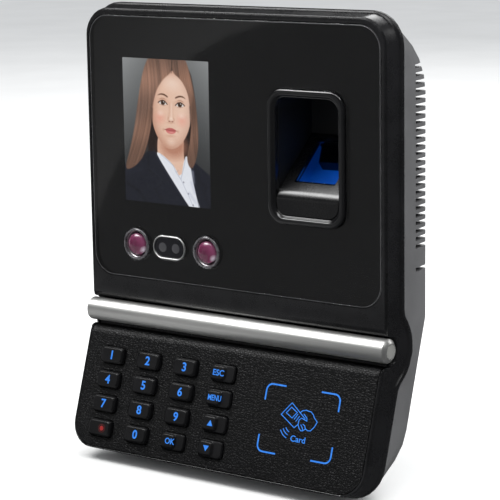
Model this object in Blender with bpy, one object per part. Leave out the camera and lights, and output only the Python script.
"""Wall-mounted fingerprint scanner terminal with screen, face camera, keypad and card reader.

Frame: the origin is the middle of the wall plate's back face, +Z is up and the front looks along -Y.
Two local frames share an origin on the front face, at the bend of the body: X runs across, Y into the
body and Z up. face_frame stands upright, and keypad_frame leans out at its foot by TILT.
Lengths are millimetres in these frames, and MM turns them into metres.
"""

import math

import bmesh
import bpy
from mathutils import Matrix, Vector

MM = 0.001
GAP = 0.3
TILT = math.radians(18)

# Body: depths from the front face, and the outline of its front edge.
BODY_DEPTH = 30.0
LOW_BODY_DEPTH = 26.0
BAND_DEPTH = 9.8
BAND_FLARE = 2.6
FRONT_HALF = 70.9
FRONT_TOP = 123.2
FRONT_FOOT = 55.8
CORNER = 10.3
REAR_CORNER = 26.0
WALL = 2.2
FLOOR_FRONT = 2.3
FLOOR_BACK = 4.1

# Wall plate: its middle is the origin.
PLATE_MIDDLE = 66.0
PLATE_HALF = 52.0
PLATE_TALL = 88.0
PLATE_THICK = 1.5
PLATE_BACK = BODY_DEPTH + 1.0

# Display window and what shows through it.
WINDOW_HALF = 69.5
WINDOW_FOOT = 15.8
WINDOW_TOP = 121.2
WINDOW_CORNER = 9.2
WINDOW_THICK = 2.0
SCREEN_CENTRE = (-31.0, 76.0)
LCD_SIZE = (50.0, 69.2)
SENSOR_ROW = 29.5
EMITTER_X = (-47.6, -12.2)
EMITTER_RADIUS = 6.5
CAMERA_X = -30.8
CAMERA_SIZE = (16.2, 9.5)
CAMERA_LENS_X = (-34.1, -27.5)

# Fingerprint well.
WELL_CENTRE = (36.4, 70.3)
BEZEL_SIZE = (35.0, 51.4)
WELL_SIZE = (28.8, 45.2)
REST_ANGLE = math.atan(0.863)
REST_LIP = 54.35
LIP_RADIUS = 3.2
REST_THICK = 2.0
SENSOR_SIZE = (18.6, 21.0)

# Trim bar, in its groove across the bend.
BAR_RADIUS = 4.7
BAR_HALF = 73.1
BAR_CENTRE = (1.2, 0.3)
BAR_CHAMFER = (1.4, 1.55)
GROOVE_RADIUS = 5.2
GROOVE_LIP = 3.6
BUMP_RADIUS = 14.2
BUMP_BLEND = 2.2
BULGE_RISES = (1.2, 2.8, 4.4, 6.0, 7.6, 9.2, 10.8, 12.4, 14.0, 15.6)
BAR_SCREW_X = 50.0

# Keypad: heights below the bend, along the leaning face.
FASCIA_HALF = 70.0
FASCIA_FOOT = 54.9
FASCIA_THICK = 2.2
ROLL_RADIUS = 4.5
ROLL_HEIGHT = -9.5
KEY_SIZE = (11.6, 6.9)
KEY_CORNER = 1.5
KEY_FIRST = (-56.2, -17.5)
KEY_PITCH = (18.7, 9.95)
KEY_HEIGHT = 2.0
KEY_FLANGE = 0.9
KEY_NAMES = (
    ("key_1", "key_2", "key_3", "key_esc"),
    ("key_4", "key_5", "key_6", "key_menu"),
    ("key_7", "key_8", "key_9", "key_up"),
    ("key_power", "key_0", "key_ok", "key_down"),
)
STEPPED_KEYS = ("key_esc", "key_menu", "key_up", "key_down", "key_ok")

# Case screws: (x, height) of each pair, in the upright and the leaning frame.
UPPER_SCREW = (59.5, 105.0)
LOWER_SCREW = (66.5, -26.0)
LOCK_SCREW = (0.0, 7.0)

# Vent slots down both rear edges.
VENT_COUNT = 24
VENT_TOP = 104.7
VENT_PITCH = 2.95
LONE_VENT = 26
VENT_GAP = 1.5
VENT_FRONT = 20.1

# Inside, behind openings in the back: (x, height) of the speaker and of the tamper switch.
SPEAKER = (36.0, -31.0)
SPEAKER_PITCH = 3.4
TAMPER = (-40.0, 88.0)


# ---------------------------------------------------------------- outlines


def arc(centre, radius, start, end, steps):
    """Points along an arc, from start to end in degrees, both included."""
    angles = [math.radians(start + (end - start) * i / steps) for i in range(steps + 1)]
    return [(centre[0] + radius * math.cos(a), centre[1] + radius * math.sin(a)) for a in angles]


def circle(radius, steps=24, centre=(0, 0)):
    return arc(centre, radius, 0, 360, steps)[:-1]


def rounded(width, height, radius, steps=4, centre=(0, 0)):
    """A rectangle with four round corners."""
    x, z = width / 2 - radius, height / 2 - radius
    points = []
    for side_x, side_z, start in ((1, 1, 0), (-1, 1, 90), (-1, -1, 180), (1, -1, 270)):
        corner = (centre[0] + side_x * x, centre[1] + side_z * z)
        points += arc(corner, radius, start, start + 90, steps)
    return points


def rectangle(x0, x1, z0, z1):
    return [(x0, z0), (x1, z0), (x1, z1), (x0, z1)]


def bulge(height, centre):
    """How far behind its straight line the band's rear edge runs, round the end of the trim bar."""
    off = abs(height - centre[1])
    reach = math.sqrt(BUMP_RADIUS**2 - off**2) if off < BUMP_RADIUS else BUMP_RADIUS - off
    past = centre[0] + reach - BAND_DEPTH
    return max((past + math.hypot(past, BUMP_BLEND)) / 2 - 0.1, 0)


def body_ring(grow, depth, low_depth, corner=None, tuck=0.0, follow=None):
    """The outline of the bent body at one depth, as points in face_frame, and how many are upright.

    grow moves the sides out from the front edge, and tuck moves the top and the foot in. follow is the
    share of the bulge round the trim bar that the sides take, for a ring with points to take it.
    """
    half = FRONT_HALF + grow
    top = FRONT_TOP + grow - tuck
    foot = tuck - FRONT_FOOT
    radius = corner or CORNER + grow
    steps = 7
    rises = [] if follow is None else BULGE_RISES
    follow = follow or 0
    behind = follow * bulge(BAR_CENTRE[1], BAR_CENTRE)
    mitre_depth = depth + behind
    mitre = (mitre_depth * math.cos(TILT) - low_depth - behind) / math.sin(TILT)
    upright = [(half, mitre_depth, mitre)]
    upright += [(half, depth + follow * bulge(z, BAR_CENTRE), z) for z in rises]
    turn = arc((half - radius, top - radius), radius, 0, 90, steps)
    upright += [(x, depth, z) for x, z in turn] + [(-x, depth, z) for x, z in turn[::-1]]
    upright += [(-x, y, z) for x, y, z in upright[len(rises) :: -1]]
    low_centre = raised_point(*BAR_CENTRE)
    turn = arc((radius - half, foot + radius), radius, 180, 270, steps)
    leaning = [(-half, low_depth + follow * bulge(-z, low_centre), -z) for z in rises[1:]]
    leaning += [(x, low_depth, z) for x, z in turn]
    leaning += [(-x, y, z) for x, y, z in leaning[::-1]]
    lean = Matrix.Rotation(-TILT, 3, "X")
    return [Vector(p) for p in upright] + [lean @ Vector(p) for p in leaning], len(upright)


def raised_point(depth, height):
    """(depth, height) in keypad_frame of a point given in face_frame."""
    point = Matrix.Rotation(TILT, 3, "X") @ Vector((0, depth, height))
    return point.y, point.z


def leaning_point(depth, height):
    """(depth, height) in face_frame of a point given in keypad_frame."""
    point = Matrix.Rotation(-TILT, 3, "X") @ Vector((0, depth, height))
    return point.y, point.z


# ---------------------------------------------------------------- meshes


def make_object(name, points, faces, frame, finish, location=(0, 0, 0)):
    """An object whose points are given in millimetres about its location in the frame."""
    mesh = bpy.data.meshes.new(name)
    mesh.from_pydata([Vector(p) * MM for p in points], [], faces)
    cleaned = bmesh.new()
    cleaned.from_mesh(mesh)
    bmesh.ops.remove_doubles(cleaned, verts=cleaned.verts, dist=0.00001)
    bmesh.ops.recalc_face_normals(cleaned, faces=cleaned.faces)
    cleaned.to_mesh(mesh)
    cleaned.free()
    mesh.shade_smooth()
    mesh.set_sharp_from_angle(angle=math.radians(30))
    if finish:
        mesh.materials.append(finish)
    piece = bpy.data.objects.new(name, mesh)
    piece.location = Vector(location) * MM
    piece.parent = frame
    bpy.context.scene.collection.objects.link(piece)
    return piece


def lofted(rings):
    """Points and faces of a solid skinned over rings of equal length, with both ends closed."""
    count = len(rings[0])
    points = [point for ring in rings for point in ring]
    faces = [tuple(range(count)), tuple(range(len(points) - count, len(points)))]
    for start in range(0, len(points) - count, count):
        for i in range(count):
            j = (i + 1) % count
            faces.append((start + i, start + j, start + count + j, start + count + i))
    return points, faces


def loft(name, rings, frame, finish, location=(0, 0, 0)):
    return make_object(name, *lofted(rings), frame, finish, location)


def prisms(name, outlines, front, back, frame, finish=None):
    """Separate prisms through the depth, in one object."""
    points, faces = [], []
    for outline in outlines:
        rings = [[(x, depth, z) for x, z in outline] for depth in (front, back)]
        more_points, more_faces = lofted(rings)
        faces += [tuple(i + len(points) for i in face) for face in more_faces]
        points += more_points
    return make_object(name, points, faces, frame, finish)


def prism(name, outline, front, back, frame, finish=None, centre=(0, 0)):
    """A prism through the depth. Its outline is given about its centre."""
    rings = [[(x, depth - front, z) for x, z in outline] for depth in (front, back)]
    return loft(name, rings, frame, finish, (centre[0], front, centre[1]))


def block(name, x0, x1, front, back, z0, z1, frame, finish=None):
    centre = ((x0 + x1) / 2, (z0 + z1) / 2)
    half_x, half_z = (x1 - x0) / 2, (z1 - z0) / 2
    outline = rectangle(-half_x, half_x, -half_z, half_z)
    return prism(name, outline, front, back, frame, finish, centre)


def across(name, profile, x0, x1, frame, finish=None):
    """A profile of (depth, height) points, drawn out along X."""
    rings = [[(x, depth, z) for depth, z in profile] for x in (x0, x1)]
    return loft(name, rings, frame, finish)


def turned(name, profile, centre, frame, finish=None, steps=24):
    """A solid turned about the depth axis through centre, from (radius, depth) points."""
    first = profile[0][1]
    rings = []
    for radius, depth in profile:
        turn = circle(radius, steps)
        rings.append([(x, depth - first, z) for x, z in turn])
    return loft(name, rings, frame, finish, (centre[0], first, centre[1]))


def body_shell(name, outer, inner, frame, finish):
    """A bent shell. Its first rings are closed, outer and inner, and its last rings meet at the open rim."""
    rings = [body_ring(*ring)[0] for ring in outer + inner[::-1]]
    upright = body_ring(*outer[0])[1]
    count = len(rings[0])
    points = [point for ring in rings for point in ring]
    faces = []
    for start in range(0, len(points) - count, count):
        for i in range(count):
            j = (i + 1) % count
            faces.append((start + i, start + j, start + count + j, start + count + i))
    for start in (0, len(points) - count):
        faces.append(tuple(range(start, start + upright)))
        faces.append(tuple(range(start + upright - 1, start + count)) + (start,))
    return make_object(name, points, faces, frame, finish)


def combine(piece, operation, *helpers):
    """Joins helpers to a piece, or cuts them from it, with Boolean modifiers."""
    for helper in helpers:
        helper.hide_render = True
        helper.display_type = "WIRE"
        boolean = piece.modifiers.new(helper.name, "BOOLEAN")
        boolean.operation = operation
        boolean.object = helper


def join(piece, *helpers):
    combine(piece, "UNION", *helpers)


def cut(piece, *helpers):
    combine(piece, "DIFFERENCE", *helpers)


# ---------------------------------------------------------------- frames and finishes


def clear_scene():
    for old in list(bpy.data.objects):
        bpy.data.objects.remove(old)


def local_frame(name, lean):
    frame = bpy.data.objects.new(name, None)
    frame.location = Vector((0, -PLATE_BACK, -PLATE_MIDDLE)) * MM
    frame.rotation_euler = (-lean, 0, 0)
    bpy.context.scene.collection.objects.link(frame)
    return frame


def finish(name, colour, roughness, metallic=0.0, transmission=0.0):
    material = bpy.data.materials.new(name)
    material.use_nodes = True
    shader = material.node_tree.nodes["Principled BSDF"]
    shader.inputs["Base Color"].default_value = (*colour, 1)
    shader.inputs["Roughness"].default_value = roughness
    shader.inputs["Metallic"].default_value = metallic
    shader.inputs["Transmission Weight"].default_value = transmission
    return material


clear_scene()
FACE = local_frame("face_frame", 0)
KEYPAD = local_frame("keypad_frame", TILT)

GLOSS_BLACK = finish("gloss_black_plastic", (0.012, 0.012, 0.014), 0.22)
GRAINED_BLACK = finish("grained_black_plastic", (0.016, 0.016, 0.018), 0.5)
MATT_BLACK = finish("matt_black_plastic", (0.014, 0.014, 0.015), 0.6)
ACRYLIC = finish("clear_acrylic", (0.9, 0.9, 0.92), 0.03, transmission=1.0)
GREY_PLASTIC = finish("grey_plastic", (0.09, 0.09, 0.095), 0.5)
BRUSHED_METAL = finish("brushed_aluminium", (0.6, 0.6, 0.59), 0.35, 1.0)
CHROME = finish("chrome", (0.8, 0.8, 0.8), 0.12, 1.0)
STEEL = finish("steel_plate", (0.5, 0.5, 0.5), 0.4, 1.0)
CLEAR_LENS = finish("clear_lens", (0.95, 0.95, 0.96), 0.04, transmission=1.0)
MAGENTA_LENS = finish("magenta_lens", (0.35, 0.04, 0.16), 0.15)
DARK_GLASS = finish("dark_glass", (0.01, 0.01, 0.012), 0.05)
SENSOR_BLUE = finish("sensor_glass", (0.05, 0.3, 0.9), 0.05, transmission=1.0)
SCREEN = finish("lcd_glass", (0.3, 0.3, 0.32), 0.1)
BOARD = finish("circuit_board", (0.01, 0.12, 0.05), 0.5)
SILICONE = finish("silicone_mat", (0.25, 0.26, 0.27), 0.7)
SOCKET = finish("socket_metal", (0.55, 0.55, 0.52), 0.3, 1.0)
TERMINAL_GREEN = finish("terminal_green", (0.02, 0.22, 0.08), 0.45)


# ---------------------------------------------------------------- body


def sensor_holes(grow):
    """Outlines of the two emitters and the camera oval, grow larger all round."""
    width, height = CAMERA_SIZE
    oval = rounded(width + 2 * grow, height + 2 * grow, height / 2 + grow - 0.01, 6, (CAMERA_X, SENSOR_ROW))
    return [circle(EMITTER_RADIUS + grow, 24, (x, SENSOR_ROW)) for x in EMITTER_X] + [oval]


def groove_profile():
    """A groove round the bar, open to the front between a rounded upper lip and the roll of the fascia."""
    inward = GROOVE_LIP - BAR_CENTRE[0]
    rise = math.sqrt((GROOVE_RADIUS + GROOVE_LIP) ** 2 - inward**2)
    meet = math.degrees(math.atan2(rise, inward))
    edge = BAR_CENTRE[1] + rise
    profile = [(-5, edge)] + arc((GROOVE_LIP, edge), GROOVE_LIP, 180, 180 + meet, 6)
    profile += arc(BAR_CENTRE, GROOVE_RADIUS, meet, -75, 16)
    roll = arc((ROLL_RADIUS, ROLL_HEIGHT), ROLL_RADIUS, 90, 180, 6) + [(-5, ROLL_HEIGHT)]
    return profile + [leaning_point(*point) for point in roll]


def fascia_pocket_profile():
    """What the rolled fascia needs cleared out of the shell, GAP behind it."""
    back = FASCIA_THICK + GAP
    roll = arc((ROLL_RADIUS, ROLL_HEIGHT), ROLL_RADIUS - back, 180, 90, 3)
    near = ROLL_RADIUS + GAP
    mouth = [(near, ROLL_HEIGHT + ROLL_RADIUS - back), (near, -2), (-5, -2)]
    return [(-5, -FASCIA_FOOT - GAP), (back, -FASCIA_FOOT - GAP)] + roll + mouth


def front_shell():
    rim = [(0, 0, 0), (0.12, 0.15, 0), (0.2, 0.9, 0), (0.5, 0.95, 0), (0.68, 1.05, 0), (0.75, 1.35, 0)]
    band = [(1.25, 4.6, 0.5), (1.6, 7.4, 1), (1.72, 7.7, 1), (2.25, 8.1, 1), (2.48, 8.35, 1)]
    band += [(BAND_FLARE, 8.8, 1), (BAND_FLARE, BAND_DEPTH, 1)]
    outer = [(grow, depth, depth, None, 0.0, follow) for grow, depth, follow in rim + band]
    inner = [(-0.1, FLOOR_BACK, FLOOR_BACK, None, 1.5, 0), (0.6, BAND_DEPTH, BAND_DEPTH, None, 1.5, 1)]
    shell = body_shell("front_shell", outer, inner, FACE, GLOSS_BLACK)

    trough = arc(BAR_CENTRE, GROOVE_RADIUS + 2, 90, -90, 12)
    join(shell, across("bar_trough", trough, -71.4, 71.4, FACE))
    join(shell, block("trough_beam", -71.2, 71.2, 3.0, 6.8, -12, -5.2, KEYPAD))
    for side in (-1, 1):
        x = side * BAR_SCREW_X
        seat = [(3.0, BAR_CENTRE[0] + BAR_RADIUS + GAP), (3.0, 8.4)]
        join(shell, turned(f"bar_seat_{side}", seat, (x, BAR_CENTRE[1]), FACE, steps=12))
        upper = (side * UPPER_SCREW[0], UPPER_SCREW[1])
        lower = (side * LOWER_SCREW[0], LOWER_SCREW[1])
        join(shell, turned(f"upper_post_{side}", [(2.6, 3.5), (2.6, 19.0)], upper, FACE, steps=12))
        join(shell, turned(f"lower_post_{side}", [(2.6, 3.5), (2.6, 13.7)], lower, KEYPAD, steps=12))

    cut(shell, across("bar_groove", groove_profile(), -80, 80, FACE))
    edge = WINDOW_CORNER + 0.4
    tall = WINDOW_TOP - WINDOW_FOOT + 0.8
    pocket = rounded(2 * WINDOW_HALF + 0.8, tall, edge, 7)
    middle = (0, (WINDOW_TOP + WINDOW_FOOT) / 2)
    cut(shell, prism("window_pocket", pocket, -3, FLOOR_FRONT, FACE, centre=middle))
    fascia = across("fascia_pocket", fascia_pocket_profile(), -80, 80, KEYPAD)
    combine(fascia, "INTERSECT", fascia_outline("fascia_pocket_outline", GAP))
    cut(shell, fascia)

    wide, high = LCD_SIZE
    screen = rounded(wide + 0.8, high + 0.8, 0.5, 1, SCREEN_CENTRE)
    well = rounded(WELL_SIZE[0] + 3.6, WELL_SIZE[1] + 3.6, 6.8, 4, WELL_CENTRE)
    camera = rounded(12.6, 6.0, 2.9, 4, (CAMERA_X, SENSOR_ROW))
    emitters = sensor_holes(GAP)[:2]
    cut(shell, prisms("face_openings", [screen, well, camera, *emitters], 1, 6, FACE))
    cut(shell, block("key_opening", -63.4, 9.0, 1, 6, -53.0, -11.4, KEYPAD))
    for side in (-1, 1):
        upper = (side * UPPER_SCREW[0], UPPER_SCREW[1])
        lower = (side * LOWER_SCREW[0], LOWER_SCREW[1])
        bar_screw = (side * BAR_SCREW_X, BAR_CENTRE[1])
        cut(shell, turned(f"bar_screw_hole_{side}", [(1.55, 2), (1.55, 12)], bar_screw, FACE, steps=12))
        cut(shell, turned(f"upper_hole_{side}", [(1.5, 9), (1.5, 20)], upper, FACE, steps=12))
        cut(shell, turned(f"lower_hole_{side}", [(1.5, 6), (1.5, 15)], lower, KEYPAD, steps=12))


def fascia_outline(name, grow):
    """The front view of the fascia: square at the top, round at its foot."""
    half = FASCIA_HALF + grow
    foot = -FASCIA_FOOT - grow
    radius = CORNER - 0.9 + grow
    outline = [(half, -1), (-half, -1)]
    outline += arc((radius - half, foot + radius), radius, 180, 270, 7)
    outline += arc((half - radius, foot + radius), radius, 270, 360, 7)
    return prism(name, outline, -8, 12, KEYPAD)


def keypad_fascia():
    centre = (ROLL_RADIUS, ROLL_HEIGHT)
    profile = [(0, -60)] + arc(centre, ROLL_RADIUS, 180, 90, 6)
    profile += arc(centre, ROLL_RADIUS - FASCIA_THICK, 90, 180, 3)
    profile.append((FASCIA_THICK, -60))
    fascia = across("keypad_fascia", profile, -80, 80, KEYPAD, GRAINED_BLACK)
    combine(fascia, "INTERSECT", fascia_outline("fascia_trim", 0))
    wide, high = KEY_SIZE
    holes = [rounded(wide + 0.6, high + 0.6, KEY_CORNER + GAP, 3, place) for _, place in key_places()]
    cut(fascia, prisms("key_holes", holes, -2, 4, KEYPAD))


def case_rings():
    def ring(grow, before_back, corner, tuck):
        return grow, BODY_DEPTH - before_back, LOW_BODY_DEPTH - before_back, corner, tuck

    def rim(grow, tuck):
        return grow, BAND_DEPTH + GAP, BAND_DEPTH + GAP, CORNER + grow, tuck

    outer = [ring(-1.2, 0, REAR_CORNER, 3.6), ring(-0.3, 0.6, REAR_CORNER, 2.7)]
    outer += [ring(0.4, 2.2, REAR_CORNER, 2.0), rim(2.1, 0.6)]
    inner = [ring(-1.6, WALL, REAR_CORNER - WALL, 4.2), rim(0.0, 2.4)]
    return outer, inner


def bulge_profile():
    """The space round each end of the trim bar, GAP behind the band's rear edge."""
    edge = [(BAND_DEPTH + bulge(z, BAR_CENTRE) + GAP, z) for z in BULGE_RISES[::-1]]
    low_centre = raised_point(*BAR_CENTRE)
    low_edge = [(BAND_DEPTH + bulge(-z, low_centre) + GAP, -z) for z in BULGE_RISES[1:]]
    low_edge.append((-5, -BULGE_RISES[-1]))
    deepest = BAND_DEPTH + bulge(BAR_CENTRE[1], BAR_CENTRE) + GAP
    edge.append((deepest, -deepest * math.tan(TILT / 2)))
    return [(-5, BULGE_RISES[-1]), *edge, *(leaning_point(*point) for point in low_edge)]


def rear_case():
    case = body_shell("rear_case", *case_rings(), FACE, GREY_PLASTIC)
    for side in (-1, 1):
        upper = (side * UPPER_SCREW[0], UPPER_SCREW[1])
        lower = (side * LOWER_SCREW[0], LOWER_SCREW[1])
        join(case, turned(f"upper_boss_{side}", [(4.0, 19.3), (4.0, 28.6)], upper, FACE, steps=12))
        join(case, turned(f"lower_boss_{side}", [(4.0, 14.0), (4.0, 24.6)], lower, KEYPAD, steps=12))
    join(case, turned("lock_boss", [(3.4, 15.0), (3.4, 24.6)], LOCK_SCREW, KEYPAD, steps=12))

    for side in (-1, 1):
        ends = sorted((side * 68, side * 80))
        cut(case, across(f"bump_notch_{side}", bulge_profile(), *ends, FACE))
        upper = (side * UPPER_SCREW[0], UPPER_SCREW[1])
        lower = (side * LOWER_SCREW[0], LOWER_SCREW[1])
        bore = [(1.6, 12), (1.6, 25.5), (2.9, 25.5), (2.9, 33)]
        low_bore = [(1.6, 10), (1.6, 22.0), (2.9, 22.0), (2.9, 29)]
        cut(case, turned(f"upper_bore_{side}", bore, upper, FACE, steps=16))
        cut(case, turned(f"lower_bore_{side}", low_bore, lower, KEYPAD, steps=16))
        inner, outer = sorted((side * 64.5, side * 80))
        heights = [VENT_TOP - i * VENT_PITCH for i in [*range(VENT_COUNT), LONE_VENT]]
        slots = [rectangle(inner, outer, z - VENT_GAP / 2, z + VENT_GAP / 2) for z in heights]
        cut(case, prisms(f"vent_slots_{side}", slots, VENT_FRONT, 33, FACE))
    cut(case, turned("lock_hole", [(1.5, 17), (1.5, 29)], LOCK_SCREW, KEYPAD, steps=12))

    grow = 0.4
    outline = rounded(2 * (PLATE_HALF + grow), PLATE_TALL + 2 * grow, 4.4, 3)
    floor = PLATE_BACK - PLATE_THICK - GAP
    cut(case, prism("plate_pocket", outline, floor, 33, FACE, centre=(0, PLATE_MIDDLE)))
    cut(case, block("tongue_pocket", -8.4, 8.4, floor, 33, 4, 26, FACE))
    sockets = rectangle(-28, 28, 26, 46)
    hooks = [rectangle(x - 6, x + 6, 97.5, 103.9) for x in (-20, 20)]
    tamper = circle(1.9, 12, TAMPER)
    cut(case, prisms("back_openings", [sockets, *hooks, tamper], 25, 33, FACE))
    heights = [SPEAKER[1] + SPEAKER_PITCH * i for i in range(-3, 4)]
    slots = [rectangle(SPEAKER[0] - 11, SPEAKER[0] + 11, z - 0.8, z + 0.8) for z in heights]
    cut(case, prisms("speaker_slots", slots, 21, 29, KEYPAD))
    cut(case, block("usb_opening", -20.6, -5.4, 10.7, 17.9, -62, -50, KEYPAD))


def wall_plate():
    front = PLATE_BACK - PLATE_THICK
    outline = rounded(2 * PLATE_HALF, PLATE_TALL, 4, 3)
    plate = prism("wall_plate", outline, front, PLATE_BACK, FACE, STEEL, (0, PLATE_MIDDLE))
    hook = [(front + 0.5, 102), (front + 0.5, 103.5), (26.7, 103.5), (26.7, 106.5)]
    hook += [(25.2, 106.5), (25.2, 102)]
    for x in (-20, 20):
        join(plate, across(f"hook_{x}", hook, x - 5, x + 5, FACE))
    low_front = LOW_BODY_DEPTH + GAP
    low_back = low_front + PLATE_THICK
    back = PLATE_BACK - 0.01
    front_bend = (front, (front * math.cos(TILT) - low_front) / math.sin(TILT))
    back_bend = (back, (back * math.cos(TILT) - low_back) / math.sin(TILT))
    tongue = [(front, 24), (back, 24), back_bend, leaning_point(low_back, 2)]
    tongue += [leaning_point(low_front, 2), front_bend]
    join(plate, across("tongue", tongue, -7, 7, FACE))
    slots = [rounded(4.6, 9, 2.29, 4, (x, z)) for x in (-42, 42) for z in (32, 100)]
    cut(plate, prisms("plate_slots", [rectangle(-29, 29, 25, 47), *slots], 28, 33, FACE))
    cut(plate, turned("lock_clearance", [(1.8, 24), (1.8, 31)], LOCK_SCREW, KEYPAD, steps=16))


# ---------------------------------------------------------------- window, screen and camera


def bezel_outline(shrink):
    width, height = BEZEL_SIZE
    return rounded(width - 2 * shrink, height - 2 * shrink, 6.6 - 0.5 * shrink, 6)


def display_window():
    middle = (WINDOW_TOP + WINDOW_FOOT) / 2
    outline = rounded(2 * WINDOW_HALF, WINDOW_TOP - WINDOW_FOOT, WINDOW_CORNER, 7)
    window = prism("display_window", outline, 0, WINDOW_THICK, FACE, ACRYLIC, (0, middle))
    well = [(x + WELL_CENTRE[0], z + WELL_CENTRE[1]) for x, z in bezel_outline(-GAP)]
    cut(window, prisms("window_openings", [well, *sensor_holes(GAP)], -2, 4, FACE))


def screen_parts():
    wide, high = LCD_SIZE
    x, z = SCREEN_CENTRE
    prism("lcd_panel", rounded(wide, high, 0.4, 1), WINDOW_THICK + GAP, 5.3, FACE, SCREEN, (x, z))
    carrier = prism("lcd_carrier", rounded(51, 75, 2, 2), 5.6, 7.4, FACE, MATT_BLACK, (x, z))
    cut(carrier, block("carrier_window", x - 20, x + 20, 4, 9, z - 28, z + 28, FACE))


def camera_parts():
    wide, high = CAMERA_SIZE
    centre = (CAMERA_X, SENSOR_ROW)
    edge = rounded(wide, high, high / 2 - 0.01, 6)
    ring = prism("camera_trim_ring", edge, -0.15, 1.9, FACE, CHROME, centre)
    hole = rounded(wide - 1.2, high - 1.2, high / 2 - 0.61, 6)
    cut(ring, prism("camera_ring_hole", hole, -2, 4, FACE, centre=centre))
    pane = rounded(wide - 1.8, high - 1.8, high / 2 - 0.91, 6)
    prism("camera_window", pane, 0.2, 1.5, FACE, DARK_GLASS, centre)
    barrel = [(1.4, 2.2), (1.95, 2.4), (1.95, 8.0)]
    for name, x in zip(("camera_lens_visible", "camera_lens_infrared"), CAMERA_LENS_X):
        turned(name, barrel, (x, SENSOR_ROW), FACE, MATT_BLACK, steps=16)
    prism("camera_board", rounded(56, 15, 1, 1), 8.3, 9.9, FACE, BOARD, (-30, SENSOR_ROW))


def emitters():
    radius = EMITTER_RADIUS
    cup = [(7.6, 6.4), (7.6, 4.4), (radius, 4.4), (radius, 0.1), (radius - 0.5, -0.5), (radius - 1.1, -0.5)]
    dome = [(4.5, 8.0), (4.5, 1.0), (4.1, -0.1), (3.0, -0.9), (1.6, -1.3), (0.4, -1.4)]
    for side, x in zip(("left", "right"), EMITTER_X):
        lens = turned(f"ir_lens_{side}", cup, (x, SENSOR_ROW), FACE, CLEAR_LENS, steps=24)
        bore = [(4.9, 8), (4.9, 0.6), (5.5, -1.0)]
        cut(lens, turned(f"ir_lens_bore_{side}", bore, (x, SENSOR_ROW), FACE, steps=24))
        turned(f"ir_emitter_{side}", dome, (x, SENSOR_ROW), FACE, MAGENTA_LENS, steps=20)


# ---------------------------------------------------------------- fingerprint well


def bezel_ring(shrink, depth):
    return [(x, depth, z) for x, z in bezel_outline(shrink)]


def fingerprint_bezel():
    outside = [(0, 2.0), (0, -0.4), (0.35, -1.0), (1.1, -1.35)]
    inside = [(2.1, -1.25), (2.8, -0.7), (3.1, 0.1), (3.1, 2.0)]
    rings = [bezel_ring(shrink, depth) for shrink, depth in outside + inside]
    count = len(rings[0])
    points = [point for ring in rings for point in ring]
    faces = []
    for k in range(len(rings)):
        start, after = k * count, (k + 1) % len(rings) * count
        for i in range(count):
            j = (i + 1) % count
            faces.append((start + i, start + j, after + j, after + i))
    make_object("fingerprint_bezel", points, faces, FACE, GLOSS_BLACK, (WELL_CENTRE[0], 0, WELL_CENTRE[1]))


def slope_height(depth):
    """Height of the finger rest's sloping face at one depth."""
    tangent = LIP_RADIUS * (1 - math.sin(REST_ANGLE))
    start = REST_LIP + LIP_RADIUS * math.cos(REST_ANGLE)
    return start + (depth - tangent) * math.tan(REST_ANGLE)


def finger_parts():
    x, z = WELL_CENTRE
    wide, high = WELL_SIZE
    well = prism("finger_well", rounded(wide + 3, high + 3, 6.5, 5), 2.3, 25.9, FACE, MATT_BLACK, (x, z))
    cut(well, prism("well_hollow", rounded(wide, high, 5.0, 5), 1, 24.4, FACE, centre=(x, z)))
    cut(well, block("well_back_opening", x - 12, x + 12, 20, 28, z - 26, slope_height(23), FACE))

    inner_half = wide / 2 - GAP
    foot = z - high / 2 + GAP
    far = 23.9
    drop = REST_THICK / math.cos(REST_ANGLE)
    profile = [(0, foot), (0, REST_LIP)]
    profile += arc((LIP_RADIUS, REST_LIP), LIP_RADIUS, 180, 90 + math.degrees(REST_ANGLE), 4)[1:]
    profile += [(far, slope_height(far)), (far, slope_height(far) - drop)]
    profile += [(2.2, slope_height(2.2) - drop), (2.2, foot)]
    rest = across("finger_rest", profile, x - inner_half, x + inner_half, FACE, MATT_BLACK)
    trim = rounded(2 * inner_half, high - 2 * GAP, 4.7, 5)
    combine(rest, "INTERSECT", prism("rest_trim", trim, -2, 30, FACE, centre=(x, z)))

    slope = bpy.data.objects.new("slope_frame", None)
    slope.parent = FACE
    middle = 13.3
    slope.location = Vector((x, middle, slope_height(middle))) * MM
    slope.rotation_euler = (REST_ANGLE - math.pi / 2, 0, 0)
    bpy.context.scene.collection.objects.link(slope)
    across_size, along = SENSOR_SIZE
    cut(rest, prism("sensor_opening", rounded(across_size, along, 0.8, 2), -2, 5, slope))
    glass = rounded(across_size - 0.6, along - 0.6, 0.5, 1)
    prism("sensor_glass", glass, 0.4, 1.8, slope, SENSOR_BLUE)
    body = prism("sensor_module", rounded(across_size + 4, along + 2.4, 1, 1), 2.4, 8.1, slope, MATT_BLACK)
    cut(body, prism("light_chamber", rounded(across_size - 1, along - 1, 0.5, 1), 1, 7.0, slope))


# ---------------------------------------------------------------- trim bar


def trim_bar():
    length, fall = BAR_CHAMFER
    shape = [(-BAR_HALF, BAR_RADIUS - fall), (length - BAR_HALF, BAR_RADIUS)]
    shape += [(BAR_HALF - length, BAR_RADIUS), (BAR_HALF, BAR_RADIUS - fall)]
    rings = [[(x, depth, z) for depth, z in circle(radius, 32)] for x, radius in shape]
    bar = loft("trim_bar", rings, FACE, BRUSHED_METAL, (0, *BAR_CENTRE))
    screw = [(2.5, 11.6), (2.5, 10.0), (1.2, 9.9), (1.2, 3.0)]
    for side, sign in (("left", -1), ("right", 1)):
        place = (sign * BAR_SCREW_X, BAR_CENTRE[1])
        cut(bar, turned(f"bar_hole_{side}", [(1.5, 2.0), (1.5, 9)], place, FACE, steps=12))
        turned(f"bar_screw_{side}", screw, place, FACE, STEEL, steps=12)


# ---------------------------------------------------------------- keypad


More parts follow.
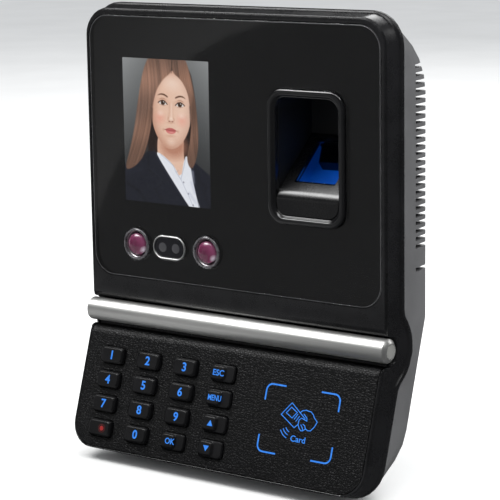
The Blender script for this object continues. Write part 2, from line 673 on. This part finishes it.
def key_places():
    """(name, (x, height)) of each key, row by row."""
    for row, names in enumerate(KEY_NAMES):
        for column, name in enumerate(names):
            yield name, (KEY_FIRST[0] + column * KEY_PITCH[0], KEY_FIRST[1] - row * KEY_PITCH[1])


def key_ring(shrink, depth, shift=0.0, width=None):
    wide, high = KEY_SIZE
    wide = (width or wide) - 2 * shrink
    outline = rounded(wide, high - 2 * shrink, max(KEY_CORNER - 0.3 * shrink, 0.6), 2, (shift, 0))
    return [(x, depth, z) for x, z in outline]


def keys():
    flange = [key_ring(-KEY_FLANGE, 3.4), key_ring(-KEY_FLANGE, 2.5), key_ring(0, 2.5)]
    plain = flange + [key_ring(0, -0.9), key_ring(0.3, -1.5), key_ring(0.9, -KEY_HEIGHT)]
    stepped = flange + [key_ring(0, -0.7), key_ring(0.35, -1.2), key_ring(0.5, -1.3, -1.7, 8.4)]
    stepped += [key_ring(0.8, -2.0, -1.75, 8.0), key_ring(1.2, -2.3, -1.8, 8.0)]
    for name, (x, z) in key_places():
        rings = stepped if name in STEPPED_KEYS else plain
        loft(name, rings, KEYPAD, GRAINED_BLACK, (x, 0, z))


def keypad_inside():
    mat = block("key_mat", -63.0, 8.6, 5.4, 6.6, -52.6, -12.0, KEYPAD, SILICONE)
    domes = [circle(2.2, 8, place) for _, place in key_places()]
    join(mat, prisms("key_domes", domes, 4.8, 6.0, KEYPAD))
    block("keypad_board", -63.0, 12.0, 6.9, 8.5, -53.2, -11.2, KEYPAD, BOARD)
    block("card_antenna_board", 17.0, 59.0, 4.6, 6.0, -50.0, -13.5, KEYPAD, BOARD)
    speaker = [(8.0, 12.2), (8.0, 15.0), (13.5, 18.0), (13.5, 20.6), (11.5, 20.6)]
    turned("speaker", speaker, SPEAKER, KEYPAD, MATT_BLACK, steps=24)
    port = block("usb_port", -20.0, -6.0, 11.2, 17.4, -54.6, -43.0, KEYPAD, SOCKET)
    cut(port, block("usb_mouth", -19.2, -6.8, 12.0, 16.6, -60, -45, KEYPAD))


# ---------------------------------------------------------------- boards and sockets


def inside_parts():
    block("main_board", -54.0, 16.5, 12.0, 13.6, 24.0, 116.0, FACE, BOARD)
    block("processor_shield", -34.0, -10.0, 13.9, 16.4, 66.0, 90.0, FACE, SOCKET)
    turned("clock_battery", [(10.0, 13.9), (10.0, 17.1)], (-4.0, 104.0), FACE, STEEL, steps=24)
    block("lock_relay", -52.0, -36.5, 13.9, 26.6, 52.0, 71.0, FACE, MATT_BLACK)
    terminals = block("terminal_block", -26.0, -4.0, 13.9, 25.6, 30.0, 40.0, FACE, TERMINAL_GREEN)
    wires = [rectangle(x - 1.6, x + 1.6, 31.5, 35.5) for x in (-23.25, -17.75, -12.25, -6.75)]
    cut(terminals, prisms("terminal_mouths", wires, 19, 28, FACE))
    jack = block("network_jack", -1.0, 15.0, 13.9, 26.9, 28.0, 43.0, FACE, SOCKET)
    cut(jack, block("network_mouth", 1.2, 12.8, 17, 29, 30.5, 39.0, FACE))
    x, z = TAMPER
    block("tamper_switch", x - 3, x + 3, 13.9, 19.0, z - 3, z + 3, FACE, MATT_BLACK)
    plunger = [(1.5, PLATE_BACK - PLATE_THICK - GAP), (1.5, 24.0), (2.8, 24.0), (2.8, 22.8)]
    plunger += [(1.5, 22.8), (1.5, 20.3)]
    turned("tamper_plunger", plunger, TAMPER, FACE, MATT_BLACK, steps=16)


def screws():
    upper = [(2.5, 27.6), (2.5, 25.8), (1.2, 25.7), (1.2, 10.0)]
    lower = [(2.5, 24.1), (2.5, 22.3), (1.2, 22.2), (1.2, 7.0)]
    for side, sign in (("left", -1), ("right", 1)):
        upper_place = (sign * UPPER_SCREW[0], UPPER_SCREW[1])
        lower_place = (sign * LOWER_SCREW[0], LOWER_SCREW[1])
        turned(f"case_screw_upper_{side}", upper, upper_place, FACE, STEEL, 12)
        turned(f"case_screw_lower_{side}", lower, lower_place, KEYPAD, STEEL, 12)
    lock = [(2.8, 29.8), (2.8, 28.1), (1.2, 28.0), (1.2, 20.0)]
    turned("locking_screw", lock, LOCK_SCREW, KEYPAD, STEEL, 16)


front_shell()
keypad_fascia()
rear_case()
wall_plate()
display_window()
screen_parts()
camera_parts()
emitters()
fingerprint_bezel()
finger_parts()
trim_bar()
keys()
keypad_inside()
inside_parts()
screws()
